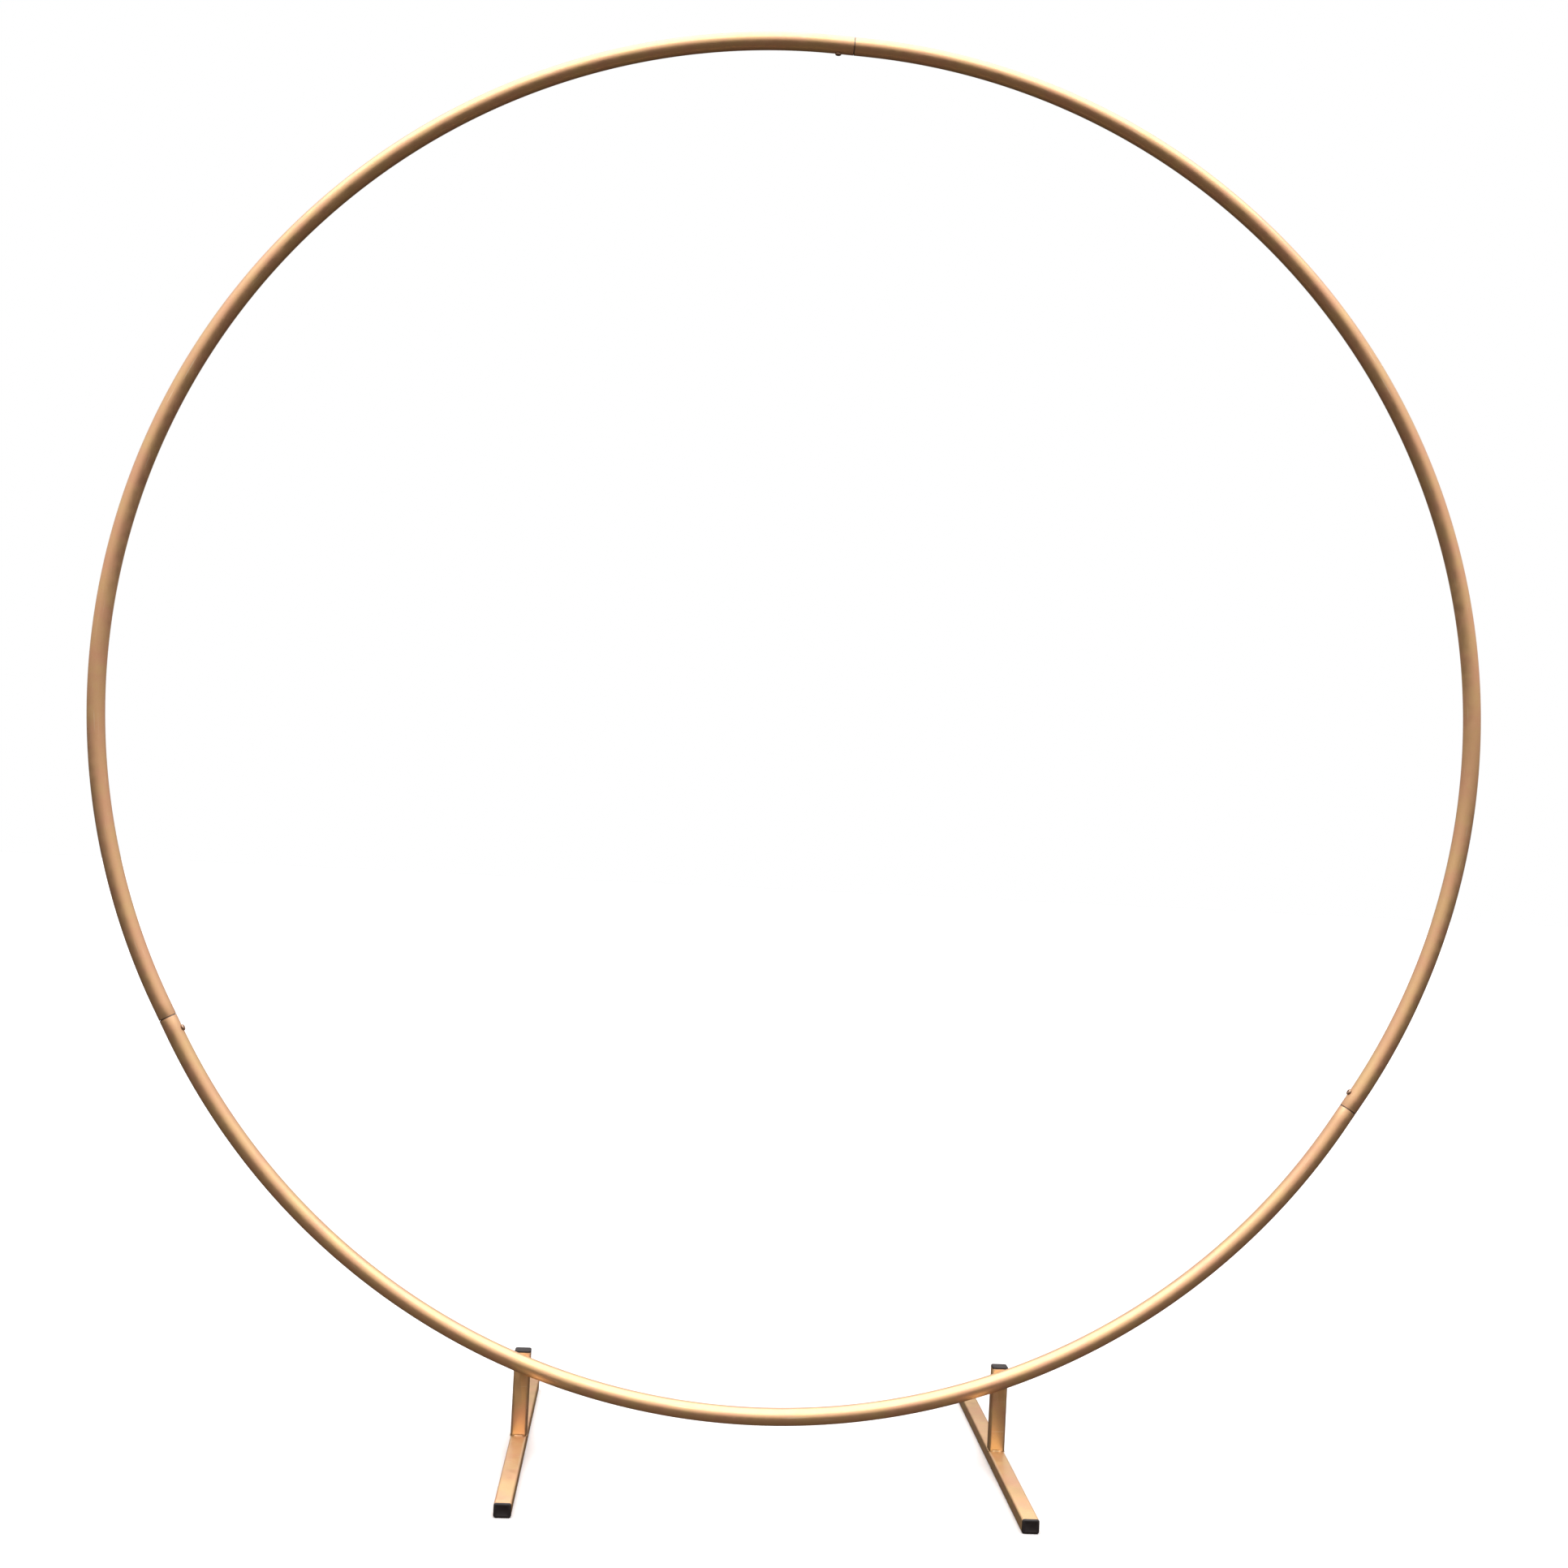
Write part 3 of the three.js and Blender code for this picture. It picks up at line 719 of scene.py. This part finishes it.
def darkened_foot(tree, place):
    """Darkens, in patches, the lowest millimetres of a foot, and paints shade round the weld where the post
    stands on the bar.
    """
    up = add_node(tree, "SeparateXYZ", {0: place}).outputs["Z"]
    at_floor = rescale(tree, up, DARKENED_BELOW, 0, high=DARKENED_MOST)
    above_bar = rescale(tree, up, WELD_SHADE_FROM, WELD_SHADE_FULL)
    below_post = rescale(tree, up, WELD_SHADE_ENDING, WELD_SHADE_GONE, low=WELD_SHADE_MOST, high=0)
    weld_shade = combine(tree, "MULTIPLY", above_bar, below_post)
    patches = noise(tree, place, scale=90, detail=5)
    patch_share = rescale(tree, patches, PATCH_FROM, PATCH_TO)
    return combine(tree, "MULTIPLY", combine(tree, "MAXIMUM", at_floor, weld_shade), patch_share)


foot_gold = gold_paint("foot gold", None, rubbed_foot, darkened_foot)
for side in side_signs:
    low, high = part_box("foot_bar_" + side)
    piece = box_tube("foot_tube_" + side, low, high, axis=1)
    smooth(piece)
    fit_piece(piece, side + "_foot", "foot_bar_" + side, foot_gold)

# ---- Uprights -------------------------------------------------------------------------------------
# A short length of the same box tube stands on the middle of each bar, its broad faces to the front and
# the back. One bolt hole goes through both broad walls, a little below the top.

UPRIGHT_HOLE_RADIUS = 0.0035

for side, sign in side_signs.items():
    low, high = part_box("upright_" + side)
    piece = box_tube("post_" + side, low, high, axis=2)
    hole = Vector((sign * bolt_axis.x, 0, bolt_axis.z))
    drill(piece, hole, Vector((0, 1, 0)), UPRIGHT_HOLE_RADIUS, 2 * (high - low).y)
    smooth(piece)
    fit_piece(piece, side + "_foot", "upright_" + side, foot_gold)

# ---- Upright welds --------------------------------------------------------------------------------
# A fillet of weld joins each upright to its bar on all four sides; at the flush sides it fills the groove
# over the bar's round corner. Laid by hand before painting, it is a chain of ripples under the gold.

BEAD_RADIUS = 0.0018
BEAD_LENGTH = 0.0145
BEAD_SINK = 0.0009
BEAD_END = 0.35
BEAD_SWELL = 6
BEAD_SIDES = 16
BEAD_SMOOTH = 80
RIPPLE_STEPS = 29
RIPPLE_LENGTH = 3
RIPPLE_HEIGHT = 0.10

bead_profile = []
for i in range(RIPPLE_STEPS + 1):
    share = i / RIPPLE_STEPS
    ripple = 1 - RIPPLE_HEIGHT * (i % RIPPLE_LENGTH) / (RIPPLE_LENGTH - 1)
    taper = min(1, BEAD_END + BEAD_SWELL * min(share, 1 - share))
    bead_profile.append((BEAD_RADIUS * ripple * taper, BEAD_LENGTH * (share - 0.5)))
bead = turn_up("bead", bead_profile, sides=BEAD_SIDES)
smooth(bead, BEAD_SMOOTH)
lay_along_x = Matrix.Rotation(math.pi / 2, 4, "Y")
lay_along_y = Matrix.Rotation(math.pi / 2, 4, "X")
for side in side_signs:
    low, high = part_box("upright_" + side)
    bar_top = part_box("foot_bar_" + side)[1].z
    foot_middle = (low + high) / 2
    runs = [
        (Vector((foot_middle.x, low.y, bar_top)), lay_along_x),
        (Vector((foot_middle.x, high.y, bar_top)), lay_along_x),
        (Vector((low.x + BEAD_SINK, foot_middle.y, bar_top - BEAD_SINK)), lay_along_y),
        (Vector((high.x - BEAD_SINK, foot_middle.y, bar_top - BEAD_SINK)), lay_along_y),
    ]
    laid = [copy_to(bead, "bead_run", Matrix.Translation(spot) @ turn) for spot, turn in runs]
    use(laid[0])
    for run in laid[1:]:
        run.select_set(True)
    bpy.ops.object.join()
    weld = bpy.context.object
    weld.name = weld.data.name = "post_weld_" + side
    weld.data.materials.append(foot_gold)
    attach(weld, side + "_foot")
bpy.data.objects.remove(bead)

# ---- Plugs ----------------------------------------------------------------------------------------
# Black polyethylene plugs close the ends of both bars and the tops of both uprights. Each is moulded in
# one piece: a domed flange over the tube's end, and a hollow shank with ridges that grip the bore.

PLUG_FLANGE = 0.003
PLUG_ROUND = 0.0021
PLUG_ROUND_STEPS = 7
PLUG_RIM = 0.0016
PLUG_DISH = 0.0002
PLUG_FIT = 0.0003
PLUG_WALL = 0.0016
PLUG_DEPTH = 0.008
RIDGE_GAP = 0.0022
RIDGE_RUN = 0.0007
RIDGE_RISE = 0.00022
RIDGES = 2
SQUARELY_FACING = 0.999


def draw_out(size, rise, widen):
    """Draws the selected face out along Z, widens it evenly all round, and gives its new size and height."""
    width, height, level = size
    level += rise
    draw_by((0, 0, rise))
    scale = ((width + 2 * widen) / width, (height + 2 * widen) / height, 1)
    bpy.ops.transform.resize(value=scale, center_override=(0, 0, level))
    return width + 2 * widen, height + 2 * widen, level


def push_in_plug(name, width, height):
    """A plug with its flange up from the origin and its shank down."""
    deselect_all()
    bpy.ops.mesh.primitive_cube_add(
        size=1, location=(0, 0, PLUG_FLANGE / 2), scale=(width, height, PLUG_FLANGE)
    )
    plug = start_piece(name)
    round_corners(plug, PLUG_FLANGE, axis=2)
    pick_faces(plug, lambda normal: normal.z > FACING)
    bpy.ops.mesh.bevel(offset=PLUG_ROUND, segments=PLUG_ROUND_STEPS)
    pick_faces(plug, lambda normal: normal.z > SQUARELY_FACING)
    size = (width - 2 * PLUG_ROUND, height - 2 * PLUG_ROUND, PLUG_FLANGE)
    size = draw_out(size, 0, -PLUG_RIM)
    draw_out(size, -PLUG_DISH, -2 * PLUG_DISH)
    pick_faces(plug, lambda normal: normal.z < -SQUARELY_FACING)
    size = draw_out((width, height, 0), 0, -BOX_TUBE_WALL - PLUG_FIT)
    for i in range(RIDGES):
        for run, widen in ((RIDGE_GAP, 0), (0, RIDGE_RISE), (RIDGE_RUN, 0), (0, -RIDGE_RISE)):
            size = draw_out(size, -run, widen)
    size = draw_out(size, -PLUG_DEPTH - size[2], -RIDGE_RISE)
    size = draw_out(size, 0, RIDGE_RISE - PLUG_WALL)
    draw_out(size, PLUG_DEPTH - PLUG_WALL, 0)
    close_shell(plug)
    smooth(plug)
    return plug


# Moulded plastic: a fine spark-eroded grain, a slight drift in sheen and specks of dust.
SHEEN_FROM, SHEEN_TO = 0.3, 0.7
PLASTIC_SLEEKEST, PLASTIC_ROUGHEST = 0.42, 0.62
DUST_FROM, DUST_TO, DUST_MOST = 0.6, 0.8, 0.5
moulding, given, made = new_effect(
    "moulded plastic", {"Place": "Vector"}, {"Roughness": "Float", "Height": "Float", "Dust": "Float"}
)
grains = {"Vector": given["Place"], "Scale": 1600}
grain = add_node(moulding, "TexVoronoi", grains, feature="SMOOTH_F1").outputs["Distance"]
sheen = noise(moulding, given["Place"], scale=130, detail=3)
plastic_roughness = rescale(moulding, sheen, SHEEN_FROM, SHEEN_TO, PLASTIC_SLEEKEST, PLASTIC_ROUGHEST)
specks = noise(moulding, given["Place"], scale=520, detail=6, roughness=0.8)
dust = rescale(moulding, specks, DUST_FROM, DUST_TO, high=DUST_MOST)
join_to(moulding, made, {"Roughness": plastic_roughness, "Height": grain, "Dust": dust})

PLUG_BLACK = (0.0145, 0.0115, 0.0135, 1)
PLUG_DUST = (0.075, 0.065, 0.060, 1)
GRAIN_DEPTH = 0.00004

black_plastic, tree, shader = new_material("black plastic")
place = add_node(tree, "TexCoord").outputs["Object"]
moulded = add_node(tree, "Group", {"Place": place}, node_tree=moulding).outputs
dress(tree, shader, blend(tree, moulded["Dust"], PLUG_BLACK, PLUG_DUST), moulded, GRAIN_DEPTH)

bar_low, bar_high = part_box("foot_bar_left")
end_plug = push_in_plug("end plug", (bar_high - bar_low).x, (bar_high - bar_low).z)
# A plug's own Y stands up at both ends of a bar: Z is turned to the front, or to the back and over.
end_turns = {
    "front": Matrix.Rotation(math.pi / 2, 4, "X"),
    "rear": Matrix.Rotation(-math.pi / 2, 4, "X"),
}
for side in side_signs:
    for end, turn in end_turns.items():
        low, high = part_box(f"foot_plug_{side}_{end}")
        face = low.y + PLUG_FLANGE if end == "front" else high.y - PLUG_FLANGE
        seat = Matrix.Translation(((low.x + high.x) / 2, face, (low.z + high.z) / 2))
        piece = copy_to(end_plug, f"foot_end_plug_{side}_{end}", seat @ turn)
        fit_piece(piece, side + "_foot", f"foot_plug_{side}_{end}", black_plastic)
    low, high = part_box("upright_plug_" + side)
    seat = Matrix.Translation(((low.x + high.x) / 2, (low.y + high.y) / 2, high.z - PLUG_FLANGE))
    piece = copy_to(end_plug, "post_top_plug_" + side, seat)
    fit_piece(piece, side + "_foot", "upright_plug_" + side, black_plastic)
bpy.data.objects.remove(end_plug)

# ---- Washers --------------------------------------------------------------------------------------
# A plain zinc-plated washer under each foot bolt's head spreads the clamp on the thin back wall. It is
# stamped from strip, which rolls one edge over.

washer_low, washer_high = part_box("bolt_washer_left")
WASHER_RADIUS = (washer_high - washer_low).x / 2
WASHER_THICKNESS = (washer_high - washer_low).y
WASHER_BORE_RADIUS = 0.0033
WASHER_ROLL = 0.0003
WASHER_ROLL_HIP = 0.3

washer_hip = WASHER_ROLL_HIP * WASHER_ROLL
washer = turn_up(
    "washer",
    [
        (WASHER_BORE_RADIUS, 0),
        (WASHER_RADIUS, 0),
        (WASHER_RADIUS, WASHER_THICKNESS - WASHER_ROLL),
        (WASHER_RADIUS - washer_hip, WASHER_THICKNESS - washer_hip),
        (WASHER_RADIUS - WASHER_ROLL, WASHER_THICKNESS),
        (WASHER_BORE_RADIUS + WASHER_ROLL, WASHER_THICKNESS),
        (WASHER_BORE_RADIUS, WASHER_THICKNESS - WASHER_ROLL),
    ],
    ring=True,
)
smooth(washer)
for side, sign in side_signs.items():
    low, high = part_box("bolt_washer_" + side)
    seat = Matrix.Translation((sign * bolt_axis.x, low.y, bolt_axis.z))
    piece = copy_to(washer, "clamp_washer_" + side, seat @ face_backward)
    fit_piece(piece, side + "_bolt_washer", "bolt_washer_" + side, zinc)
bpy.data.objects.remove(washer)

# ---- Foot bolts -----------------------------------------------------------------------------------
# One zinc-plated button-head bolt holds each foot. It goes in from behind, through the washer and the
# upright, into the ring's rivet nut, and it is both the clamp and the pivot of the foot.

FOOT_BOLT = {"radius": 0.003, "length": 0.035, "head": 0.00525, "height": 0.0033, "key": 0.004}
FOOT_BOLT_PITCH = 0.001
FOOT_BOLT_PLAIN = 0.011

foot_bolt = button_screw("foot bolt", pitch=FOOT_BOLT_PITCH, plain=FOOT_BOLT_PLAIN, **FOOT_BOLT)
for side, sign in side_signs.items():
    low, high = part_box("foot_bolt_" + side)
    seat = Matrix.Translation((sign * bolt_axis.x, high.y - FOOT_BOLT["height"], bolt_axis.z))
    piece = copy_to(foot_bolt, "clamp_bolt_" + side, seat @ face_backward)
    fit_piece(piece, side + "_foot_bolt", "foot_bolt_" + side, zinc)
bpy.data.objects.remove(foot_bolt)

# ---- Studio ---------------------------------------------------------------------------------------
# A pale floor, one wide soft light overhead, and a backdrop that is white to the camera. What lights the
# frame is bright above and a warm brown below, darkest just under the horizon and stronger in front.

FLOOR_SIZE = 40
FLOOR_WHITE = (0.80, 0.80, 0.81, 1)
FLOOR_ROUGHNESS = 0.9
FLOOR_GLOSS = 0.1
SKY_WHITE = (1, 1, 1, 1)
SURROUND = (
    (0.0, (0.150, 0.112, 0.085, 1)),
    (0.47, (0.052, 0.039, 0.031, 1)),
    (0.57, (0.82, 0.65, 0.56, 1)),
    (1.0, (1.25, 1.25, 1.28, 1)),
)
SURROUND_FRONT = 1.1
SURROUND_BACK = 0.80
OVERHEAD_SPREAD = math.radians(90)
OVERHEAD_STRENGTH = 2.4
OVERHEAD_TILT = math.radians(6)
OVERHEAD_PLACE = (0, -1, 3)

deselect_all()
bpy.ops.mesh.primitive_plane_add(size=FLOOR_SIZE, location=(0, 0, cad_low.z))
floor = bpy.context.object
floor.name = "floor"
bpy.ops.object.transform_apply(location=True)
floor_white, tree, shader = new_material("floor white")
shader.inputs["Base Color"].default_value = FLOOR_WHITE
shader.inputs["Roughness"].default_value = FLOOR_ROUGHNESS
shader.inputs["Specular IOR Level"].default_value = FLOOR_GLOSS
floor.data.materials.append(floor_white)
floor.visible_diffuse = False
floor.visible_glossy = False

world = bpy.data.worlds.new("studio")
world.use_nodes = True
bpy.context.scene.world = world
sky = world.node_tree
sky.nodes.clear()
direction = add_node(sky, "TexCoord").outputs["Generated"]
towards = add_node(sky, "SeparateXYZ", {0: direction}).outputs
strength = rescale(sky, towards["Y"], -1, 1, SURROUND_FRONT, SURROUND_BACK)
ramp = add_node(sky, "ValToRGB", {0: rescale(sky, towards["Z"], -1, 1)})
stops = ramp.color_ramp.elements
for position, colour in SURROUND[1:-1]:
    stops.new(position)
for stop, (position, colour) in zip(stops, SURROUND):
    stop.position = position
    stop.color = colour
around = add_node(sky, "Background", {"Color": ramp.outputs[0], "Strength": strength})
behind = add_node(sky, "Background", {"Color": SKY_WHITE, "Strength": 1})
seen = add_node(sky, "LightPath").outputs["Is Camera Ray"]
both = add_node(sky, "MixShader", {0: seen, 1: around.outputs[0], 2: behind.outputs[0]})
add_node(sky, "OutputWorld", {"Surface": both.outputs[0]})

bpy.ops.object.light_add(type="SUN", location=OVERHEAD_PLACE, rotation=(OVERHEAD_TILT, 0, 0))
overhead = bpy.context.object
overhead.name = "overhead light"
overhead.data.angle = OVERHEAD_SPREAD
overhead.data.energy = OVERHEAD_STRENGTH

# ---- Camera ---------------------------------------------------------------------------------------
# Held by hand at chest height in front of the ring, a little left of its middle, turned slightly to the
# right and tipped a few degrees to one side.

CAMERA_PLACE = (-0.178, -2.935, 0.9325)
CAMERA_YAW = math.radians(-3.25)
CAMERA_PITCH = math.radians(0.67)
CAMERA_ROLL = math.radians(-2.88)
CAMERA_LENS = 46.7
CAMERA_SENSOR = 36

bpy.ops.object.camera_add()
camera = bpy.context.object
face_forward = Matrix.Rotation(math.pi / 2, 4, "X")
aim = Matrix.Rotation(CAMERA_YAW, 4, "Z") @ Matrix.Rotation(CAMERA_PITCH, 4, "X")
aim = aim @ Matrix.Rotation(CAMERA_ROLL, 4, "Y")
camera.matrix_world = Matrix.Translation(CAMERA_PLACE) @ aim @ face_forward
camera.data.sensor_width = CAMERA_SENSOR
camera.data.lens = CAMERA_LENS
bpy.context.scene.camera = camera
bpy.context.scene.view_settings.view_transform = "Standard"
